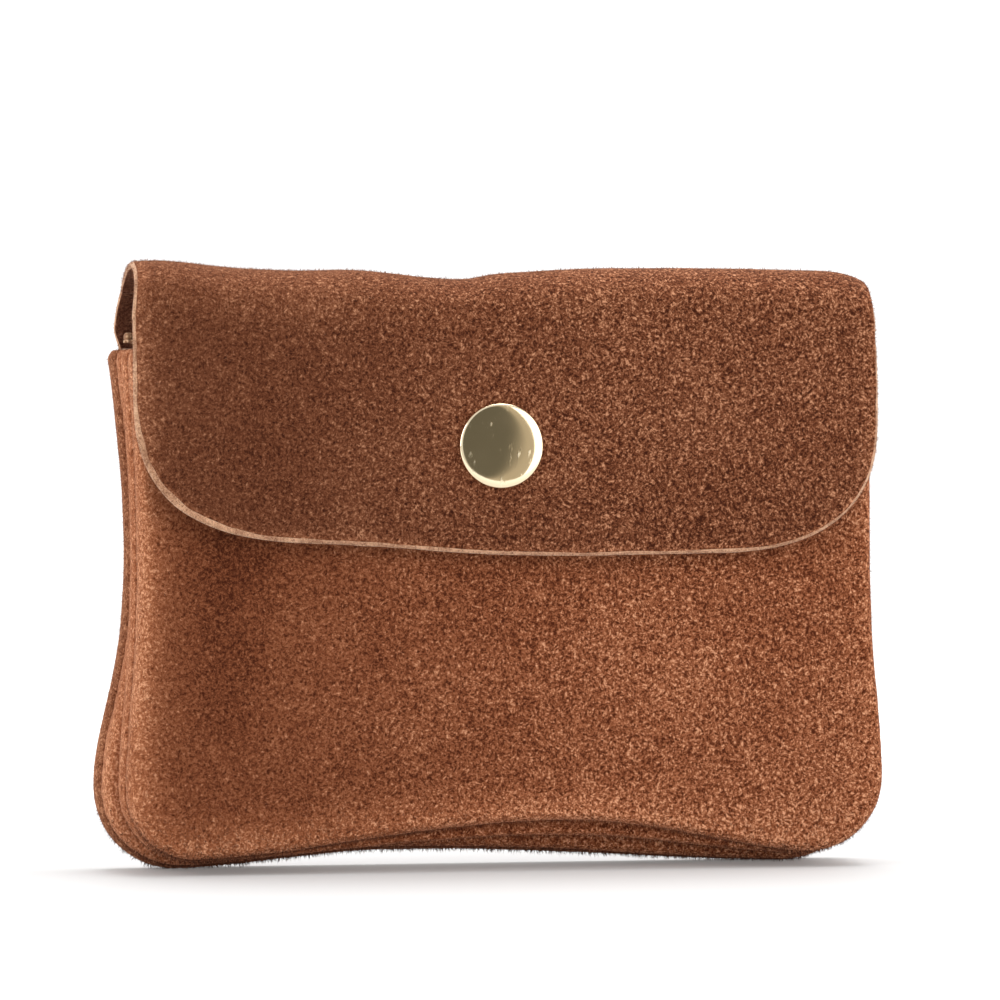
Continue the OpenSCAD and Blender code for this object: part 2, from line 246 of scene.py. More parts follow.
def nap_fibres():
    """Loose fibres of the nap, each of a slightly different brown, with painted shade that makes
    them darker near the floor.
    """
    g = Graph(bpy.data.materials.new("nap_fibres"))
    at = g.rest_mm()
    height = g.add("SeparateXYZ", {0: at}).outputs[2]
    # painted shade: the fibres darken towards the floor
    low = g.add("MapRange", {"Value": height, "From Min": 2.0, "From Max": 14.0,
                             "To Min": -0.22, "To Max": 0.0}).outputs[0]
    tint = g.maths("ADD", g.noise(at, 0.9, 1.0), low)
    colour = g.ramp(tint, [(0.25, (0.06, 0.018, 0.008)), (0.5, (0.20, 0.072, 0.034)),
                           (0.72, (0.42, 0.21, 0.12))])
    shader = g.add("BsdfPrincipled", {"Base Color": colour, "Roughness": 0.8,
                                      "Specular IOR Level": 0.2})
    return g.finish(shader)


def thread():
    g = Graph(bpy.data.materials.new("thread"))
    at = g.add("TexCoord").outputs["Object"]
    twist = g.add("TexWave", {"Vector": at, "Scale": 900.0, "Distortion": 1.5},
                  bands_direction="DIAGONAL").outputs["Fac"]
    colour = g.ramp(twist, [(0.2, (0.05, 0.014, 0.006)), (0.8, (0.12, 0.040, 0.018))])
    cord = g.add("Bump", {"Height": twist, "Strength": 0.6, "Distance": 0.08 * MM})
    shader = g.add("BsdfPrincipled", {
        "Base Color": colour, "Roughness": 0.8, "Specular IOR Level": 0.15,
        "Normal": cord.outputs[0],
    })
    return g.finish(shader)


def tape_weave():
    """Woven zip tape: a fine twill with slightly uneven yarns."""
    g = Graph(bpy.data.materials.new("tape_weave"))
    at = g.add("TexCoord").outputs["Object"]
    warp = g.add("TexWave", {"Vector": at, "Scale": 420.0, "Distortion": 0.4},
                 bands_direction="X").outputs["Fac"]
    weft = g.add("TexWave", {"Vector": at, "Scale": 420.0, "Distortion": 0.4},
                 bands_direction="Z").outputs["Fac"]
    weave = g.maths("MULTIPLY", warp, weft)
    yarn = g.add("TexNoise", {"Vector": at, "Scale": 300.0, "Detail": 3.0}).outputs["Fac"]
    level = g.maths("MULTIPLY_ADD", weave, 0.5, g.maths("MULTIPLY", yarn, 0.5))
    colour = g.ramp(level, [(0.15, (0.22, 0.10, 0.05)), (0.8, (0.60, 0.38, 0.22))])
    relief = g.add("Bump", {"Height": weave, "Strength": 0.7, "Distance": 0.15 * MM})
    shader = g.add("BsdfPrincipled", {
        "Base Color": colour, "Roughness": 0.85, "Specular IOR Level": 0.2,
        "Normal": relief.outputs[0],
    })
    return g.finish(shader)


def metal(name, colour, roughness, scratches):
    """Plated metal with hairline scratches, faint smudges and a slightly uneven finish."""
    g = Graph(bpy.data.materials.new(name))
    at = g.add("TexCoord").outputs["Object"]
    hair = g.add("Mapping", {"Vector": at, "Rotation": (0.0, 0.7, 0.4), "Scale": (1100, 1100, 420)})
    lines = g.add("TexNoise", {"Vector": hair.outputs[0], "Scale": 1.0, "Detail": 2.0})
    scratch = g.ramp(lines.outputs["Fac"], [(0.60, (0, 0, 0)), (0.70, (1, 1, 1))])
    patches = g.add("TexNoise", {"Vector": at, "Scale": 260.0, "Detail": 3.0}).outputs["Fac"]
    where = g.ramp(patches, [(0.44, (0, 0, 0)), (0.58, (1, 1, 1))])
    scratch = g.maths("MULTIPLY", scratch, where)
    smudge = g.add("TexNoise", {"Vector": at, "Scale": 180.0, "Detail": 4.0}).outputs["Fac"]
    worn = tuple(min(1.0, c * 1.12 + 0.04) for c in colour)
    tone = g.mix(g.maths("MULTIPLY", scratch, scratches), colour, worn)
    rough = g.maths("MULTIPLY_ADD", smudge, 0.10, roughness - 0.05)
    rough = g.maths("MULTIPLY_ADD", scratch, 0.25 * scratches, rough)
    relief = g.add("Bump", {"Height": scratch, "Strength": 0.25 * scratches, "Distance": 0.02 * MM})
    shader = g.add("BsdfPrincipled", {
        "Base Color": tone, "Metallic": 1.0, "Roughness": rough, "Normal": relief.outputs[0],
    })
    return g.finish(shader)


# The last pair in each call is painted light: the suede grows lighter towards the right end.
FLAP_SUEDE = suede("flap_suede", (0.030, 0.0065, 0.0022), (0.094, 0.0275, 0.0112),
                   (0.165, 0.060, 0.028), (0.37, 0.175, 0.095), (1.01, 1.32))
# painted light: lighter towards the right end
PANEL_SUEDE = suede("panel_suede", (0.047, 0.010, 0.0033), (0.143, 0.0415, 0.0163),
                    (0.240, 0.086, 0.039), (0.46, 0.225, 0.125), (1.05, 1.38))
# A darker copy of the suede for the inner faces and card pockets: painted shade for the hollows
# inside the pouches and the fold.
SHADED_INNER_SUEDE = suede("inner_suede", (0.030, 0.008, 0.004), (0.085, 0.027, 0.014),
                    (0.150, 0.055, 0.030), (0.24, 0.11, 0.07))
NAP = nap_fibres()
CUT_EDGE = cut_edge()
THREAD = thread()
TAPE = tape_weave()
GOLD = metal("pale_gold", (0.87, 0.73, 0.50), 0.09, 1.0)
BRASS = metal("zip_brass", (0.80, 0.60, 0.30), 0.22, 0.6)
STEEL = metal("spring_steel", (0.62, 0.61, 0.59), 0.25, 0.4)

# ---------------------------------------------------------------- leather meshes


class Sheet:
    """An open surface of quads, which thicken() turns into leather of even thickness."""

    def __init__(self):
        self.points, self.wear, self.dent, self.faces = [], [], [], []

    def point(self, place, wear=0.0, dent=0.0):
        self.points.append(tuple(place))
        self.wear.append(wear)
        self.dent.append(dent)
        return len(self.points) - 1

    def grid(self, rows):
        """Quads between rows of point numbers."""
        for a, b in zip(rows, rows[1:]):
            for i in range(len(a) - 1):
                self.faces.append((a[i], a[i + 1], b[i + 1], b[i]))

    def face_along(self, direction):
        """Turns the faces over if on the whole they look against direction."""
        points = np.array(self.points)
        total = np.zeros(3)
        for f in self.faces:
            p = points[list(f)]
            total += np.cross(p[2] - p[0], p[3 % len(f)] - p[1])
        if total @ np.array(direction) < 0:
            self.faces = [tuple(reversed(f)) for f in self.faces]

    def normals(self):
        points = np.array(self.points)
        normals = np.zeros_like(points)
        for f in self.faces:
            p = points[list(f)]
            n = np.cross(p[2] - p[0], p[3 % len(f)] - p[1])
            normals[list(f)] += n
        length = np.linalg.norm(normals, axis=1, keepdims=True)
        return normals / np.maximum(length, 1e-12)

    def border(self):
        """The border's edges, each in its face's own direction."""
        seen = {}
        for f in self.faces:
            for a, b in zip(f, f[1:] + f[:1]):
                if (b, a) in seen:
                    del seen[(b, a)]
                else:
                    seen[(a, b)] = True
        return list(seen)


def thicken(name, sheet, thickness, materials, joined=lambda p: False, skive=lambda p: 0.0):
    """A leather piece: sheet is its outer face, and materials are its outer, cut-edge and inner
    ones. The cut edge is rounded, except where joined(point) says that the piece is cut off
    against its neighbour. skive(point) is how far the outer face draws back from the edge, so
    that the pale edge shows from the front; the face's points near the edge draw back too."""
    outer = np.array(sheet.points)
    normals = sheet.normals()
    inner = outer - normals * thickness
    count = len(outer)
    faces = list(sheet.faces)
    index = [0] * len(faces)
    faces += [tuple(reversed([i + count for i in f])) for f in sheet.faces]
    index += [2] * len(sheet.faces)

    border = sheet.border()
    outward = {}
    for a, b in border:
        along = outer[b] - outer[a]
        side = np.cross(along, (normals[a] + normals[b]) / 2)
        side /= max(np.linalg.norm(side), 1e-12)
        for i in (a, b):
            outward[i] = outward.get(i, np.zeros(3)) + side
    middle, extra, creased, drawn = {}, [], set(), {}
    for i, side in outward.items():
        cut = joined(outer[i])
        side = side / max(np.linalg.norm(side), 1e-12)
        middle[i] = 2 * count + len(extra)
        extra.append((outer[i] + inner[i]) / 2 + side * (0.0 if cut else 0.16 * thickness))
        if cut:
            creased.add(i)
        elif skive(outer[i]):
            drawn[i] = side * skive(outer[i])
    if drawn:
        reach = 3.2 * MM
        tree = kdtree.KDTree(len(drawn))
        for i in drawn:
            tree.insert(outer[i], i)
        tree.balance()
        shifts = np.zeros_like(outer)
        for i, p in enumerate(outer):
            _, nearest, away = tree.find(p)
            shifts[i] = drawn[nearest] * max(0.0, 1 - away / reach)
        outer = outer - shifts
    for a, b in border:
        faces += [(b, a, middle[a], middle[b]), (middle[b], middle[a], a + count, b + count)]
        index += [1, 1]

    points = np.vstack([outer, inner, np.array(extra).reshape(-1, 3)])
    piece = new_piece(name, points, faces, *materials)
    mesh = piece.data
    mesh.polygons.foreach_set("material_index", index)
    wear = np.zeros(len(points), np.float32)
    wear[:count] = sheet.wear
    wear[count:2 * count] = np.array(sheet.wear) * 0.3
    mesh.attributes.new("wear", "FLOAT", "POINT").data.foreach_set("value", wear)
    dent = np.zeros(len(points), np.float32)
    dent[:count] = sheet.dent
    mesh.attributes.new("dent", "FLOAT", "POINT").data.foreach_set("value", dent)
    if creased:
        ring = creased | {i + count for i in creased} | {middle[i] for i in creased}
        crease = mesh.attributes.new("crease_edge", "FLOAT", "EDGE")
        values = [1.0 if set(e.vertices) <= ring else 0.0 for e in mesh.edges]
        crease.data.foreach_set("value", np.array(values, np.float32))
    mesh.update()
    return piece


def apply_modifiers(piece):
    graph = bpy.context.evaluated_depsgraph_get()
    mesh = bpy.data.meshes.new_from_object(piece.evaluated_get(graph))
    old = piece.data
    piece.modifiers.clear()
    piece.data = mesh
    mesh.name = piece.name
    bpy.data.meshes.remove(old)


def finish_leather(piece, seed):
    """Subdivides, adds the hide's small unevenness and keeps each point's place at rest."""
    smoother = piece.modifiers.new("smooth", "SUBSURF")
    smoother.levels = smoother.render_levels = 1
    apply_modifiers(piece)
    mesh = piece.data
    mesh.shade_smooth()
    count = len(mesh.vertices)
    places = np.zeros(count * 3)
    mesh.vertices.foreach_get("co", places)
    places = places.reshape(-1, 3)
    normals = np.array([v.normal for v in mesh.vertices])
    for i, p in enumerate(places):
        lift = (0.6 * wander(*p, 9 * MM, seed) + 0.3 * wander(*p, 3.5 * MM, seed + 1)
                + 0.1 * wander(*p, 1.2 * MM, seed + 2))
        places[i] = p + normals[i] * lift * RELIEF
    mesh.vertices.foreach_set("co", places.ravel())
    keep_rest(mesh)
    mesh.update()


def keep_rest(mesh):
    places = np.zeros(len(mesh.vertices) * 3, np.float32)
    mesh.vertices.foreach_get("co", places)
    rest = mesh.attributes.new("rest", "FLOAT_VECTOR", "POINT")
    rest.data.foreach_set("vector", places)


def fuzz(piece, count, seed):
    """Loose fibres standing off the nap, most of them along rolled and cut edges: thin closed
    spikes rooted in the leather."""
    rng = np.random.default_rng(seed)
    mesh = piece.data
    mesh.calc_loop_triangles()
    corners = np.zeros(len(mesh.loop_triangles) * 3, np.int32)
    mesh.loop_triangles.foreach_get("vertices", corners)
    kinds = np.zeros(len(mesh.loop_triangles), np.int32)
    mesh.loop_triangles.foreach_get("material_index", kinds)
    places = np.zeros(len(mesh.vertices) * 3)
    mesh.vertices.foreach_get("co", places)
    wear = np.zeros(len(mesh.vertices), np.float32)
    mesh.attributes["wear"].data.foreach_get("value", wear)
    tri = places.reshape(-1, 3)[corners.reshape(-1, 3)]
    across = np.cross(tri[:, 1] - tri[:, 0], tri[:, 2] - tri[:, 0])
    area = np.linalg.norm(across, axis=1)
    edge = wear[corners.reshape(-1, 3)].mean(axis=1)
    low = np.clip(1 - tri[:, :, 2].mean(axis=1) / (14 * MM), 0, 1)
    chance = area * (0.10 + 2.4 * np.clip(edge, 0, 0.6) + 4.0 * low)
    chance[kinds == 1] = area[kinds == 1] * 2.2
    chance[kinds == 2] = 0.0
    chosen = rng.choice(len(tri), count, p=chance / chance.sum())
    u, v = rng.random((2, count, 1))
    flip = u + v > 1
    u, v = np.where(flip, 1 - u, u), np.where(flip, 1 - v, v)
    t = tri[chosen]
    root = t[:, 0] + u * (t[:, 1] - t[:, 0]) + v * (t[:, 2] - t[:, 0])
    normal = across[chosen] / np.maximum(area[chosen, None], 1e-12)
    lean = rng.normal(0, 0.55, (count, 3)) + np.array([0, 0, -0.15])
    aim = normal + lean
    aim /= np.linalg.norm(aim, axis=1, keepdims=True)
    aim += normal * np.clip(0.25 - (aim * normal).sum(1, keepdims=True), 0, None)
    side = np.cross(aim, rng.normal(0, 1, (count, 3)))
    side /= np.linalg.norm(side, axis=1, keepdims=True)
    other = np.cross(aim, side)
    reach = FIBRE * rng.uniform(0.45, 1.15, (count, 1)) * (1 + 0.6 * low[chosen, None])
    thick = rng.uniform(0.035, 0.06, (count, 1)) * MM * (1 + 0.5 * low[chosen, None])
    foot = root - normal * 0.12 * MM
    points = [foot + thick * (side * math.cos(a) + other * math.sin(a))
              for a in (0, 2 * math.pi / 3, 4 * math.pi / 3)] + [root + aim * reach]
    points = np.stack(points, axis=1).reshape(-1, 3)
    base = 4 * np.arange(count)[:, None]
    faces = np.stack([base + f for f in ([[0, 2, 1]], [[0, 1, 3]], [[1, 2, 3]], [[2, 0, 3]])], 1)
    hairs = new_piece(piece.name + "_nap", points, faces.reshape(-1, 3).tolist(), NAP)
    keep_rest(hairs.data)
    return hairs


# ---------------------------------------------------------------- pouches


# One side of a pouch: half widths at the foot, waist and mouth, the corner's radius, the foot's
# height above the floor, and how far the seam lies inside the rolled edge
Side = namedtuple("Side", "foot waist mouth radius lift seam")


class Pouch:
    """The outline of a pouch's panel. Its base rises to arch_z at x = arch_x."""

    waist_z = 50 * MM
    spread = 20.5 * MM  # how far up from the corner the foot's width reaches
    peak = 0.8          # below 1, the rise of the base is broader than a cosine

    def __init__(self, left, right, arch_z, arch_x):
        self.sides = {-1: Side(*left), 1: Side(*right)}
        self.arch_z, self.arch_x = arch_z, arch_x

    def half_width(self, side, z):
        s = self.sides[side]
        low = bump(z, s.lift + s.radius, self.spread)
        high = max(0.0, (z - self.waist_z) / (MOUTH_Z - self.waist_z)) ** 2
        return s.waist + (s.foot - s.waist) * low + (s.mouth - s.waist) * high

    def corner(self, side, inset):
        """The corner's centre and radius, drawn in by inset."""
        s = self.sides[side]
        r = max(1.2 * MM, s.radius - inset)
        z = s.lift + inset + r
        return max(self.half_width(side, z) - inset - r, 0.3 * MM), z, r

    def half(self, side, inset):
        """Points from the mouth, whose corner slopes, down one side to the base's middle."""
        lift = self.sides[side].lift
        centre_x, centre_z, r = self.corner(side, inset)
        steps = 54
        top = MOUTH_Z - 1.7 * MM
        heights = [MOUTH_Z, MOUTH_Z - 0.5 * MM, MOUTH_Z - 1.1 * MM, top]
        heights += [top + (centre_z - top) * i / steps for i in range(1, steps + 1)]
        slope = [1.3 * MM * max(0.0, (z - top) / (MOUTH_Z - top)) ** 1.4 for z in heights]
        points = [(side * (self.half_width(side, z) - inset - cut), z)
                  for z, cut in zip(heights, slope)]
        for i in range(1, 19):
            a = math.radians(5 * i)
            points.append((side * (centre_x + r * math.cos(a)), centre_z - r * math.sin(a)))
        fade = max(0.0, 1 - inset / (55 * MM))
        ends = {k: k * self.corner(k, inset)[0] for k in (-1, 1)}
        for i in range(1, 41):
            x = side * centre_x * (1 - i / 40)
            end = ends[1] if x > self.arch_x else ends[-1]
            t = min(1.0, abs((x - self.arch_x) / (end - self.arch_x)))
            rise = ((1 + math.cos(math.pi * t)) / 2) ** self.peak
            points.append((x, lift + inset + (self.arch_z - lift) * fade * rise))
        return points

    def outline(self, inset, at_seam=0.0):
        """The outline drawn in by inset, and at_seam of the way to the seam."""
        halves = [self.half(k, inset + at_seam * self.sides[k].seam) for k in (1, -1)]
        right, left = halves
        z = (right[-1][1] + left[-1][1]) / 2
        return right[:-1] + [(0.0, z)] + left[-2::-1]


FACE_INSETS = [i * MM for i in (3.0, 4.4, 6.2, 8.4, 11, 14, 17.5, 21.5)]
FACE_INSETS += [i * MM for i in range(26, 62, 5)]


def panel_sheet(pouch, seam_y, way, face_depth, strip=None, painted_face_shade=lambda x, z, inset: 0.0):
    """A panel dished from its seam towards way (+1 back, -1 front): turned-in allowance, rolled
    edge and face. face_depth(x, z, inset) is the face's distance from the seam, and the last
    argument gives the painted shade on the face. Stitches pull dents into the edge beside the
    seam, and these dimples are painted darker too."""
    half = PANEL_DEPTH / 2
    seam = 0.04 * MM
    section = [(ALLOWANCE, 1.0, seam), (0.5 * ALLOWANCE, 1.0, seam)]
    for i in range(7):
        a = math.radians(-90 + 15 * i)
        section.append((0.0, 1 - math.cos(a), half * (1 + math.sin(a)) + seam))
    for i in range(1, 7):
        a = math.radians(15 * i)
        section.append((ROLL_IN * (1 - math.cos(a)), 0.0, half * (1 + math.sin(a)) + seam))
    rings_at = section + [(d, 0.0, None) for d in FACE_INSETS]

    path = pouch.outline(0.0, 1.0)
    run = [0.0]
    for a, b in zip(path, path[1:]):
        run.append(run[-1] + math.hypot(b[0] - a[0], b[1] - a[1]))
    pull = [abs(math.cos(math.pi * (s - 2.5 * MM) / STITCH)) ** 5 for s in run]

    sheet = Sheet()
    rings = []
    for inset, at_seam, depth in rings_at:
        ring = []
        for k, (x, z) in enumerate(pouch.outline(inset, at_seam)):
            face = face_depth(x, z, inset)
            far = face if depth is None else seam + (depth - seam) * face / PANEL_DEPTH
            near_seam = 0.0 if depth is None else bump(depth, 0.3 * MM, 1.1 * MM)
            dent = pull[k] * near_seam * (at_seam < 1.0 or inset == 0.0)
            inward = 0.28 * MM * dent
            # The rolled edge is painted lighter: partly real rubbing, partly a painted highlight;
            # the band is wider near the base.
            reach = (3.4 + 3.2 * bump(z, 0, 22 * MM)) * MM
            wear = 0.0 if at_seam == 1.0 else bump(inset, 0.0, reach)
            # painted shade in the stitches' dimples and, on the face, in the front's hollow
            shade = 0.22 * dent + (painted_face_shade(x, z, inset) if depth is None else 0.0)
            # The painted highlight is strongest at the left, which faces a lamp.
            worn = wear * (0.70 - 0.38 * x / HALF)
            place = (x - math.copysign(inward, x) * (z > 12 * MM), seam_y + way * far,
                     z + inward * (z <= 12 * MM))
            ring.append(sheet.point(place, worn, shade))
        rings.append(ring)
    sheet.grid(rings)
    last = rings[-1]
    n = len(last)
    for i in range(n // 2 - 1):
        sheet.faces.append((last[i], last[i + 1], last[n - 2 - i], last[n - 1 - i]))
    middle = n // 2
    sheet.faces.append((last[middle - 1], last[middle], last[middle + 1]))
    if strip:
        strip(sheet, rings[len(section) - 2:])
    return sheet


# The fold's outer face, seen from the side: a quarter ellipse from the back mouth up and over
# the mouths, then a tighter one down into the flap
CREASE_Y, CREASE_Z = 8.0 * MM, 6.6 * MM
ARCH_Y = FLAP_OUT_Y + CREASE_Y


def fold_drop(x):
    """How far the soft fold sinks below its highest line."""
    mm = x / MM
    drop = 1.2 - 1.15 * bump(mm, -61, 9) + 0.45 * bump(mm, -35, 10) + 1.8 * bump(mm, -11, 12)
    drop += 0.45 * bump(mm, -6, 2.5) + 0.35 * bump(mm, 6, 5)
    drop += 1.9 * max(0.0, (mm - 56.5) / 10.5) ** 3
    return drop * MM


def arch_point(x, turn):
    """A point on the arch, turn in degrees from the back mouth to the crease."""
    a = math.radians(turn)
    rise = FOLD_Z - MOUTH_Z - fold_drop(x)
    soft = 0.35 * MM * wander(x, 0, a * 10 * MM, 24 * MM, 3.0) * math.sin(a)
    return (ARCH_Y + (BACK_Y - ARCH_Y) * math.cos(a), MOUTH_Z + rise * math.sin(a) + soft)


# Where on the arch, in degrees, the back's leather ends and the flap's begins
SPLIT_TURN = 45.0


def flap_side(x, z):
    """The flap's sides draw in towards the fold."""
    right = 0.75 * MM * smooth((z - 86 * MM) / (20 * MM)) * max(0.0, x / FLAP_HALF) ** 8
    left = 0.5 * MM * smooth((z - 98 * MM) / (8 * MM)) * max(0.0, -x / FLAP_HALF) ** 8
    return x - right + left


def bridge_strip(sheet, face_rings):
    """Carries the back panel's face on over the mouths, to the middle of the arch, where its
    sides have drawn in to the flap's."""
    row = [ring[-1] for ring in face_rings] + [ring[0] for ring in reversed(face_rings)]
    places = [sheet.points[i] for i in row]
    edge = abs(places[1][0])
    rows = [row]
    for j in range(1, 15):
        turn = SPLIT_TURN * (j / 14) ** 1.15
        share = smooth(j / 6)
        line = []
        for x0, y0, _ in places:
            inner = max(-1.0, min(1.0, x0 / edge))
            core = inner * edge
            narrow = 0.29 if inner > 0 else 0.25 + 0.91 * (turn / SPLIT_TURN) ** 1.3
            x = core + share * (inner * (FLAP_HALF - narrow * MM) - core)
            x += (x0 - core) * (1 - 0.8 * share)
            y, z = arch_point(x, turn)
            line.append(sheet.point((x, y + (y0 - BACK_Y) * (1 - share), z),
                                    0.5 * bump(abs(x), FLAP_HALF, 2.5 * MM)))
        rows.append(line)
    sheet.grid([line[::-1] for line in rows])


def on_split(p):
    """True on the line where the back's leather is cut off against the flap's."""
    y, z = arch_point(p[0], SPLIT_TURN)
    return abs(p[1] - y) < 0.3 * MM and abs(p[2] - z) < 0.3 * MM


def blend_all(pieces):
    for piece in pieces:
        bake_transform(piece)


def make_back():
    def depth(x, z, _):
        return PANEL_DEPTH - 0.5 * MM * bump(x, 0, 40 * MM) * bump(z, 45 * MM, 30 * MM)

    sheet = panel_sheet(BACK, REAR_SEAM_Y, 1, depth, bridge_strip)
    sheet.face_along((0, 1, 0))
    piece = thicken("back_leather", sheet, LEATHER_T, (FLAP_SUEDE, CUT_EDGE, SHADED_INNER_SUEDE), on_split)
    finish_leather(piece, 7)
    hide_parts("back_panel")
    blend_all([piece, fuzz(piece, 10000, 11)])


def pocket_sink(z, inset):
    """How far an inner panel's face is drawn in where the zipped pocket lies."""
    return 3.1 * MM * smooth((inset - 7 * MM) / (7 * MM)) * smooth((z - 9 * MM) / (14 * MM))


def make_rear_inner():
    sheet = panel_sheet(REAR_INNER, REAR_SEAM_Y, -1,
                        lambda x, z, inset: PANEL_DEPTH - pocket_sink(z, inset))
    sheet.face_along((0, -1, 0))
    piece = thicken("rear_inner_leather", sheet, LEATHER_T, (PANEL_SUEDE, CUT_EDGE, SHADED_INNER_SUEDE))
    finish_leather(piece, 2)
    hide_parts("rear_inner_panel")
    blend_all([piece, fuzz(piece, 9000, 12)])


def make_front_inner():
    sheet = panel_sheet(FRONT_INNER, FRONT_SEAM_Y, 1,
                        lambda x, z, inset: PANEL_DEPTH - 0.05 * MM - pocket_sink(z, inset))
    sheet.face_along((0, 1, 0))
    piece = thicken("front_inner_leather", sheet, LEATHER_T, (PANEL_SUEDE, CUT_EDGE, SHADED_INNER_SUEDE))
    finish_leather(piece, 3)
    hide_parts("front_inner_panel")
    for part in (piece, fuzz(piece, 7000, 13)):
        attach(part, "middle")


def front_depth(x, z, inset):
    """The front's soft face: a hollow beside its left roll, a belly, and slow waves, all
    vanishing at the press stud."""
    away = 1 - bump(math.hypot(x - SNAP_X, z - SNAP_Z), 0, 15 * MM)
    swell = 0.75 * MM * bump(z, 34 * MM, 26 * MM)
    hollow = -1.1 * MM * bump(x, -52 * MM, 7 * MM) * bump(z, 40 * MM, 26 * MM)
    waves = 0.45 * MM * wander(x, 0, z, 32 * MM, 5.0) + 0.22 * MM * wander(x, 0, z, 14 * MM, 6.0)
    return PANEL_DEPTH + (swell + waves + hollow) * away * smooth((inset - 2 * MM) / (22 * MM))


def front_painted_shade(x, z, _):
    """Painted shade on the front: darker in the hollow beside its left roll, and a little to the
    right of it, towards the flap."""
    mm = x / MM + 4 * wander(x, 0, z, 25 * MM, 2.0)
    hollow = 0.20 * bump(mm, -49, 6.5) * smooth((z - 14 * MM) / (20 * MM))
    return hollow + 0.10 * bump(mm, -30, 14) * smooth((z - 20 * MM) / (30 * MM))


def make_front():
    sheet = panel_sheet(FRONT, FRONT_SEAM_Y, -1, front_depth, painted_face_shade=front_painted_shade)
    sheet.face_along((0, -1, 0))
    piece = thicken("front_leather", sheet, LEATHER_T, (PANEL_SUEDE, CUT_EDGE, SHADED_INNER_SUEDE))
    finish_leather(piece, 4)
    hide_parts("front_panel")
    blend_all([piece, fuzz(piece, 14000, 14)])


BACK = Pouch((HALF - 0.1 * MM, HALF - 5.7 * MM, HALF - 2.4 * MM, 14.7 * MM, 0.0, 0.95 * MM),
             (HALF - 0.6 * MM, HALF - 4.2 * MM, HALF - 2.6 * MM, 14.5 * MM, 0.0, 0.9 * MM),
             2.9 * MM, -14 * MM)
REAR_INNER = Pouch(
    (HALF - 1.0 * MM, HALF - 6.6 * MM, HALF - 3.3 * MM, 13.8 * MM, 0.9 * MM, 0.05 * MM),
    (HALF - 1.2 * MM, HALF - 4.8 * MM, HALF - 3.2 * MM, 13.9 * MM, 0.6 * MM, 0.3 * MM),
    3.8 * MM, -14 * MM)
FRONT_INNER = Pouch(
    (HALF - 3.2 * MM, HALF - 5.3 * MM, HALF - 3.4 * MM, 13 * MM, 2.0 * MM, 0.75 * MM),
    (HALF - 0.9 * MM, HALF - 3.2 * MM, HALF - 3.0 * MM, 13.5 * MM, 2.0 * MM, 0.8 * MM),
    5.9 * MM, 10 * MM)
FRONT = Pouch(
    (HALF - 3.9 * MM, HALF - 5.9 * MM, HALF - 4.0 * MM, 12 * MM, 2.75 * MM, 0.1 * MM),
    (HALF - 0.45 * MM, HALF - 2.8 * MM, HALF - 2.6 * MM, 13.5 * MM, 2.75 * MM, 1.2 * MM),
    8.9 * MM, 12 * MM)

# ---------------------------------------------------------------- flap


def bezier(a, b, c, d, t):
    u = 1 - t
    return tuple(u ** 3 * p + 3 * u * u * t * q + 3 * u * t * t * r + t ** 3 * w
                 for p, q, r, w in zip(a, b, c, d))


def flap_columns():
    """(x, z) of the flap's lower edge, from its left side round to its right side. The left
    corner hangs softer than the right one, and the edge dips right of the middle."""
    low = FLAP_LOW_Z
    left, right = -FLAP_HALF + 0.6 * MM, FLAP_HALF + 0.6 * MM
    start, end = (-40 * MM, low + 2.9 * MM), (40 * MM, low + 0.7 * MM)
    points = [bezier((left, low + 28.2 * MM), (left, low + 14.6 * MM), (-60.6 * MM, low + 4.6 * MM),
                     start, i / 22) for i in range(23)]
    for i in range(1, 30):
        x = start[0] + (end[0] - start[0]) * i / 30
        z = start[1] - 2.55 * MM * smooth((x / MM + 44) / 52)
        z += 0.35 * MM * smooth((x / MM - 18) / 22)
        points.append((x, z + 0.12 * MM * wander(x, 0, 0, 9 * MM, 4.0)))
    points += [bezier(end, (60 * MM, low + 1.3 * MM), (right, low + 10.3 * MM),
                      (right, low + 22.3 * MM), i / 22) for i in range(23)]
    return points


def flap_relief(x, z):
    """How far the flap's front face lies behind its plane. It swells a little, has slow waves
    that fade at the left edge and a faint groove at the upper left, draws in towards its lower
    edge, and its left corner stands off. At the stud it is flat."""
    mm = x / MM
    away = 1 - bump(math.hypot(x - SNAP_X, z - SNAP_Z), 0, 13 * MM)
    drop = (FOLD_Z - z) / (FOLD_Z - FLAP_LOW_Z)
    corner = bump(mm, -58, 22) * bump(z / MM, 66, 16)
    inward = 0.7 * MM * smooth((drop - 0.5) / 0.5) * (1 - corner)
    swell = -0.45 * MM * math.sin(math.pi * min(1, drop)) * (1 - abs(x / FLAP_HALF) ** 3)
    waves = 0.42 * MM * wander(x, 0, z, 28 * MM, 8.0) + 0.22 * MM * wander(x, 0, z, 13 * MM, 9.0)
    waves *= 1 - 0.8 * bump(mm, -66, 7)
    fold = 0.5 * MM * bump(mm, -50 + (FOLD_Z - z) / MM * 0.15, 4.5) * bump(z / MM, 92, 12)
    return (inward + swell + waves + fold - 1.0 * MM * corner) * away


def flap_skive(p):
    """The flap's cut edge shows most at its lower left, and less towards the right."""
    mm = Vector(p) / MM
    low = smooth((96 - mm.z) / 20)
    corner = bump(mm.x, -56, 20) * bump(mm.z, 66, 14)
    uneven = 1 + 0.35 * wander(*p, 3.5 * MM, 5.0) + 0.3 * wander(*p, 1.1 * MM, 6.0)
    left = smooth((20 - mm.x) / 60)
    width = 0.34 + 0.18 * left + 0.30 * low + 0.45 * corner
    return width * MM * uneven * smooth((ARCH_Y + 9 * MM - p[1]) / (12 * MM))


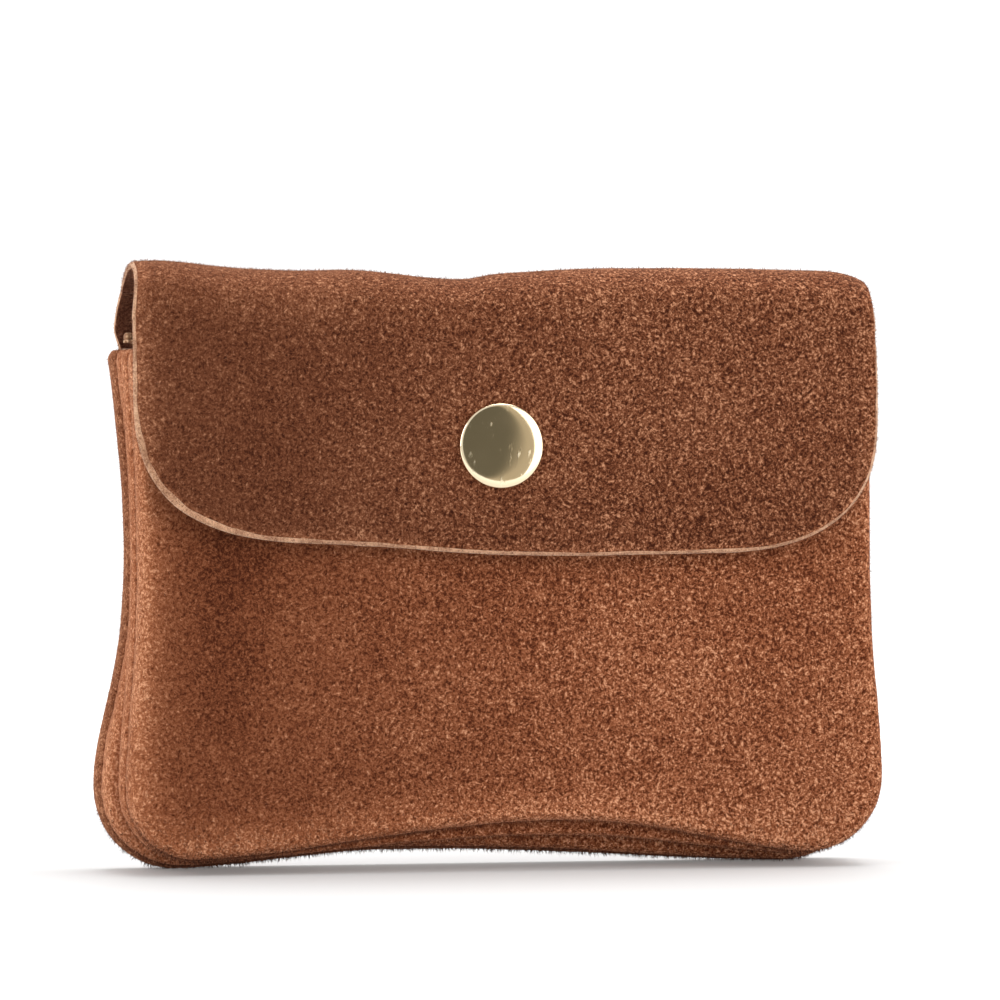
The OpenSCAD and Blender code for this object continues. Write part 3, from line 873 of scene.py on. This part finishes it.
def make_flap():
    columns = flap_columns()
    sheet = Sheet()
    rows = []
    arch_steps, crease_steps, front_steps = 10, 8, 34

    def add_row(place, wear):
        rows.append([sheet.point(place(x, z_end), wear(x)) for x, z_end in columns])

    # Lighter flap sides: partly real rubbing, partly a painted highlight, strongest at the left
    # side, which faces a lamp.
    def side_wear_and_highlight(x):
        return 0.35 * bump(x, FLAP_HALF, 2.0 * MM) + 0.75 * bump(x, -FLAP_HALF, 4.2 * MM)

    # Lighter fold crest: partly real rubbing of the fold, partly a painted highlight where the top
    # lamp strikes, stronger to the left.
    def crest_wear_and_highlight(x):
        return 0.12 + 0.22 * bump(x, -42 * MM, 30 * MM)

    def arch_wear_and_highlight(x):
        return max(side_wear_and_highlight(x), crest_wear_and_highlight(x) * smooth((turn - 55) / 30))

    for j in range(arch_steps):
        turn = SPLIT_TURN + (90 - SPLIT_TURN) * j / arch_steps
        add_row(lambda x, _: (flap_side(x, FOLD_Z), *arch_point(x, turn)), arch_wear_and_highlight)
    for j in range(crease_steps):
        a = math.radians(90 * j / crease_steps)

        def crease(x, _):
            top = arch_point(x, 90)[1]
            z = top - CREASE_Z * (1 - math.cos(a))
            return flap_side(x, z), ARCH_Y - CREASE_Y * math.sin(a), z

        add_row(crease, lambda x: max(side_wear_and_highlight(x), crest_wear_and_highlight(x)))
    shares = [j / front_steps for j in range(front_steps)] + [1 - 0.35 / front_steps, 1.0]
    for share in shares:

        def front(x, z_end):
            top = arch_point(x, 90)[1] - CREASE_Z
            z = top + (z_end - top) * share
            return flap_side(x, z), FLAP_OUT_Y + flap_relief(x, z) * smooth(share * 4), z

        add_row(front, lambda x: max(side_wear_and_highlight(x), 0.5 * bump(share, 1, 0.02),
                                     crest_wear_and_highlight(x) * bump(share, 0, 0.06)))
    sheet.grid(rows)
    sheet.face_along((0, -1, 0.3))
    piece = thicken("flap_leather", sheet, LEATHER_T, (FLAP_SUEDE, CUT_EDGE, SHADED_INNER_SUEDE), on_split,
                    flap_skive)
    finish_leather(piece, 7)
    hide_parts("flap", "flap_bridge")
    blend_all([piece, fuzz(piece, 14000, 17)])


# ---------------------------------------------------------------- press stud


def lathe(name, profile, material, centre):
    """A turned piece about the press stud's axis: profile holds (radius, distance in front)."""
    points, faces, steps = [], [], 128
    for radius, ahead in profile:
        for i in range(steps):
            a = 2 * math.pi * i / steps
            points.append((centre[0] + radius * math.cos(a), centre[1] - ahead,
                           centre[2] + radius * math.sin(a)))
    for k in range(len(profile) - 1):
        for i in range(steps):
            j = (i + 1) % steps
            faces.append((k * steps + i, k * steps + j, (k + 1) * steps + j, (k + 1) * steps + i))
    faces.append(tuple(reversed(range(steps))))
    last = (len(profile) - 1) * steps
    faces.append(tuple(range(last, last + steps)))
    piece = new_piece(name, points, faces, material)
    piece.data.shade_smooth()
    return piece


def make_cap():
    """The cap: a thin rolled rim and a low, even dome, with its shank behind."""
    dome = FLAP_OUT_Y - CAP_LO.y
    shank = CAP_HI.y - FLAP_OUT_Y
    rim = 0.42 * MM
    profile = [(1.7 * MM, -shank), (1.8 * MM, -shank + 0.1 * MM), (1.8 * MM, 0.0),
               (CAP_R - rim, 0.0)]
    for i in range(9):
        a = math.radians(-90 + 20 * i)
        profile.append((CAP_R - rim + rim * math.cos(a), rim + rim * math.sin(a)))
    edge_r, edge_h = profile[-1]
    for i in range(1, 29):
        t = i / 28
        radius = edge_r * (1 - t)
        u = radius / edge_r
        height = edge_h + (dome - edge_h) * (1 - 0.36 * u ** 2 - 0.64 * u ** 8)
        profile.append((max(radius, 0.02 * MM), height))
    piece = lathe("snap_cap_shell", profile, GOLD, (SNAP_X, FLAP_OUT_Y, SNAP_Z))
    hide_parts("snap_cap")
    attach(piece, "flap")
    return piece


# ---------------------------------------------------------------- stitches


def stitches(name, pouch, seam_y, body, node):
    """Stitches sunk beside the seam, from one side of the mouth to the other."""
    path = [Vector((x, seam_y, z)) for x, z in pouch.outline(0.42 * MM, 1.0)]
    lengths = [0.0]
    for a, b in zip(path, path[1:]):
        lengths.append(lengths[-1] + (b - a).length)
    places = np.array(path)

    def at(s):
        return Vector([float(np.interp(s, lengths, places[:, k])) for k in range(3)])

    points, faces = [], []
    sides, steps = 8, 7
    count = int((lengths[-1] - 5 * MM) / STITCH)
    for n in range(count + 1):
        middle = 2.5 * MM + n * STITCH
        ahead = (at(middle + 0.5 * MM) - at(middle - 0.5 * MM)).normalized()
        across = Vector((0, 1, 0))
        out = ahead.cross(across)
        rings = []
        for j in range(steps):
            t = 2 * j / (steps - 1) - 1
            radius = 0.23 * MM * max(0.12, 1 - t ** 4) ** 0.5
            centre = at(middle + 0.75 * MM * t)
            ring = []
            for k in range(sides):
                a = 2 * math.pi * k / sides
                ring.append(len(points))
                points.append(centre + across * radius * math.cos(a) + out * radius * math.sin(a))
            rings.append(ring)
        for a, b in zip(rings, rings[1:]):
            for k in range(sides):
                faces.append((a[k], a[(k + 1) % sides], b[(k + 1) % sides], b[k]))
        faces.append(tuple(reversed(rings[0])))
        faces.append(tuple(rings[-1]))
    piece = new_piece(name, points, faces, THREAD)
    piece.data.shade_smooth()
    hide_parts(node)
    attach(piece, body)


# ---------------------------------------------------------------- CAD nodes that stay


def make_tape_ends():
    """The zip tapes' ends, folded over and sewn down above the pouches' mouths."""
    tape_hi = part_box("zip_tape_front")[1]
    for side in (-1, 1):
        bpy.ops.mesh.primitive_uv_sphere_add(segments=32, ring_count=16, radius=1.0)
        piece = bpy.context.object
        piece.name = "zip_tape_end_" + ("left" if side < 0 else "right")
        half = (0.8 * MM, 1.9 * MM, 0.8 * MM)
        middle = (side * (tape_hi.x - 0.5 * MM), POCKET_Y, tape_hi.z + 0.5 * MM)
        for vertex in piece.data.vertices:
            squared = [math.copysign(abs(c) ** 0.7, c) * h for c, h in zip(vertex.co, half)]
            vertex.co = [m + c for m, c in zip(middle, squared)]
        piece.data.materials.append(TAPE)
        piece.data.shade_smooth()
        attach(piece, "middle")


def dress_nodes():
    """Materials of the CAD nodes whose shape is right as it is."""
    for material, nodes in (
        (BRASS, ("zip_teeth_front", "zip_teeth_rear", "zip_bottom_stop", "zip_top_stops",
                 "zip_slider", "zip_pull", "snap_socket", "snap_stud", "snap_post")),
        (STEEL, ("snap_spring",)),
        (TAPE, ("zip_tape_front", "zip_tape_rear")),
        (THREAD, ("pocket_seam_thread", "card_pocket_thread", "zip_tape_thread")),
        (SHADED_INNER_SUEDE, ("card_pocket_upper", "card_pocket_lower")),
    ):
        for name in nodes:
            for place in bpy.data.objects[name].material_slots:
                place.material = material


# ---------------------------------------------------------------- stage, lights, camera


def make_stage():
    """A floor painted light grey around the wallet, a painted shadow, that rises to white before
    its far edge. Its faint, even glow is painted light that keeps the shadows pale.
    """
    wide, near, far = 1.2, -0.27, 1.0
    corners = [(-wide, near, 0), (wide, near, 0), (wide, far, 0), (-wide, far, 0)]
    g = Graph(bpy.data.materials.new("floor_white"))
    away = g.add("VectorMath", {0: g.add("TexCoord").outputs["Object"]}, operation="LENGTH")
    # painted shadow: greyer paint within reach of the wallet
    pale = g.add("MapRange", {"Value": away.outputs["Value"], "From Min": 0.15, "From Max": 0.42,
                              "To Min": 0.56, "To Max": 0.97}).outputs[0]
    # the faint glow is painted light, keeping the shadows pale
    shader = g.add("BsdfPrincipled", {
        "Base Color": pale, "Roughness": 0.6, "Specular IOR Level": 0.2,
        "Emission Color": (1.0, 1.0, 0.99, 1.0), "Emission Strength": 0.16,
    })
    floor = new_piece("floor", corners, [(0, 1, 2, 3)], g.finish(shader))


def area_light(name, place, size, power):
    """A soft box that faces the wallet."""
    data = bpy.data.lights.new(name, "AREA")
    data.shape = "RECTANGLE"
    data.size, data.size_y = size
    data.energy = power
    lamp = bpy.data.objects.new(name, data)
    lamp.location = place
    lamp.rotation_mode = "QUATERNION"
    lamp.rotation_quaternion = (Vector((0, 0, 0.05)) - Vector(place)).to_track_quat("-Z", "Y")
    bpy.context.scene.collection.objects.link(lamp)


def make_world():
    """A white light tent with a dark opening where the camera stands, and a cream screen to the
    right of it, which polished metal shows."""
    world = bpy.data.worlds.new("tent")
    bpy.context.scene.world = world
    g = Graph(world)
    where = g.add("TexCoord").outputs["Generated"]
    behind = g.maths("GREATER_THAN", g.add("SeparateXYZ", {0: where}).outputs["Y"])
    colour = (1.0, 1.0, 1.0)
    for centre, scale, half, soft, shade in (
        ((0.12, 0, 0.1), (1.0, 0, 0.64), 0.32, 0.04, (0.62, 0.55, 0.44)),
        ((-0.045, 0, 0.16), (1.0, 0, 0.67), 0.295, 0.025, (0.165, 0.155, 0.125)),
    ):
        aim = g.add("VectorMath", {0: where, 1: centre}, operation="SUBTRACT").outputs[0]
        flat = g.add("VectorMath", {0: aim, 1: scale}, operation="MULTIPLY").outputs[0]
        length = g.add("VectorMath", {0: flat}, operation="LENGTH").outputs["Value"]
        rim = g.add("MapRange", {
            "Value": g.maths("ADD", length, behind), "From Min": half - soft,
            "From Max": half + soft,
        }, interpolation_type="SMOOTHSTEP")
        colour = g.mix(rim.outputs[0], shade, colour)
    seen = g.add("LightPath").outputs["Is Camera Ray"]
    colour = g.mix(seen, colour, (1.3, 1.3, 1.3))
    back = g.add("Background", {"Color": colour, "Strength": 0.9})
    g.add("OutputWorld", {"Surface": back.outputs[0]})


def make_camera():
    data = bpy.data.cameras.new("camera")
    data.lens = 202
    data.sensor_width = 36
    data.clip_start, data.clip_end = 0.05, 20
    camera = bpy.data.objects.new("camera", data)
    bpy.context.scene.collection.objects.link(camera)
    target = Vector((1.2 * MM, 0, 65.7 * MM))
    turn, lift, distance = math.radians(-11), math.radians(0.7), 1.0
    away = Vector((math.sin(turn) * math.cos(lift), -math.cos(turn) * math.cos(lift),
                   math.sin(lift)))
    camera.location = target + away * distance
    camera.rotation_mode = "QUATERNION"
    camera.rotation_quaternion = (-away).to_track_quat("-Z", "Y")
    bpy.context.scene.camera = camera


make_camera()
make_back()
make_rear_inner()
make_front_inner()
make_front()
make_flap()
make_cap()
stitches("rear_seam_stitches", BACK, REAR_SEAM_Y, "back", "rear_seam_thread")
stitches("front_seam_stitches", FRONT, FRONT_SEAM_Y, "middle", "front_seam_thread")
make_tape_ends()
dress_nodes()
make_stage()
make_world()
area_light("top_light", (0.1, 0.12, 0.95), (0.8, 0.6), 10.0)
area_light("right_light", (0.76, -0.78, 0.2), (0.9, 1.1), 6.0)
area_light("left_light", (-0.95, -0.45, 0.4), (0.5, 0.7), 3.5)
bpy.context.scene.view_settings.view_transform = "Standard"
